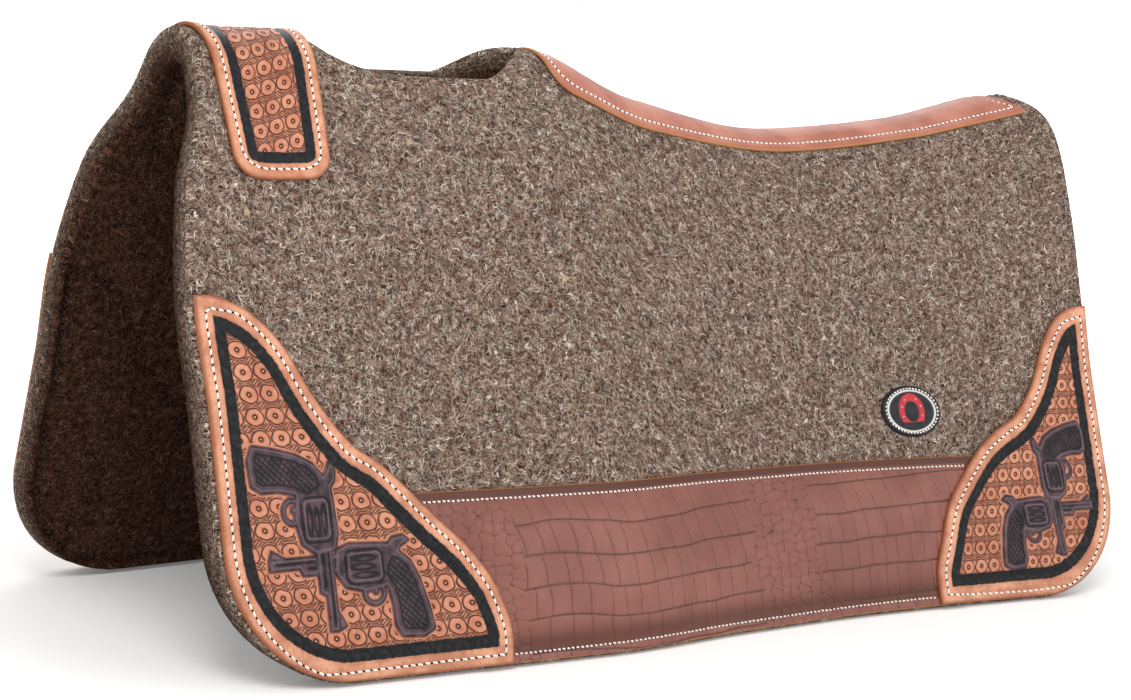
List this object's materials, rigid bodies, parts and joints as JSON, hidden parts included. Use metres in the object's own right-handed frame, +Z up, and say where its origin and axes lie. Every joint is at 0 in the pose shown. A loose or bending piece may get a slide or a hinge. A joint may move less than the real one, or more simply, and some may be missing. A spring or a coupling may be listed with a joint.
{
  "type": "western saddle pad",
  "caption": "Contoured thick felt western saddle pad with a wither strap, spine strip, wear leathers at the corners, side bands and a relief cut-out behind the withers.",
  "frame": {"origin": "on the floor the bottom edges stand on, midway across and midway along the pad", "axes": "+Z up, front (withers) towards -Y, the horse's left side towards +X"},
  "size_m": [0.3892, 0.8118, 0.4043],
  "materials": {
    "felt": "matt pressed wool felt",
    "tooled_leather": "satin tooled leather, dyed border and motifs",
    "plain_leather": "satin smooth leather",
    "embossed_leather": "satin leather embossed with reptile scales",
    "label": "matt black leather patch",
    "thread": "waxed white thread"
  },
  "bodies": {
    "left_half": {"felt_panel_left": "felt", "front_corner_left": "tooled_leather", "rear_corner_left": "tooled_leather", "side_band_left": "embossed_leather", "front_corner_thread_left": "thread", "rear_corner_thread_left": "thread", "side_band_upper_thread_left": "thread", "side_band_lower_thread_left": "thread", "label_patch": "label", "label_patch_thread": "thread", "wither_strap": "tooled_leather", "wither_strap_thread": "thread", "spine_strip": "plain_leather", "spine_strip_thread": "thread", "front_seam_thread": "thread", "rear_seam_thread": "thread"},
    "right_half": {"felt_panel_right": "felt", "front_corner_right": "tooled_leather", "rear_corner_right": "tooled_leather", "side_band_right": "embossed_leather", "front_corner_thread_right": "thread", "rear_corner_thread_right": "thread", "side_band_upper_thread_right": "thread", "side_band_lower_thread_right": "thread"}
  },
  "joints": [
    {"name": "spine_fold", "type": "hinge", "parent": "left_half", "child": "right_half", "pos_m": [0, 0, 0.37052], "axis": [0, 0.9989, -0.0462], "range_deg": [-10, 30], "stiffness_Nm_per_rad": 60, "deforming": ["wither_strap", "wither_strap_thread", "spine_strip", "spine_strip_thread", "front_seam_thread", "rear_seam_thread"]}
  ]
}
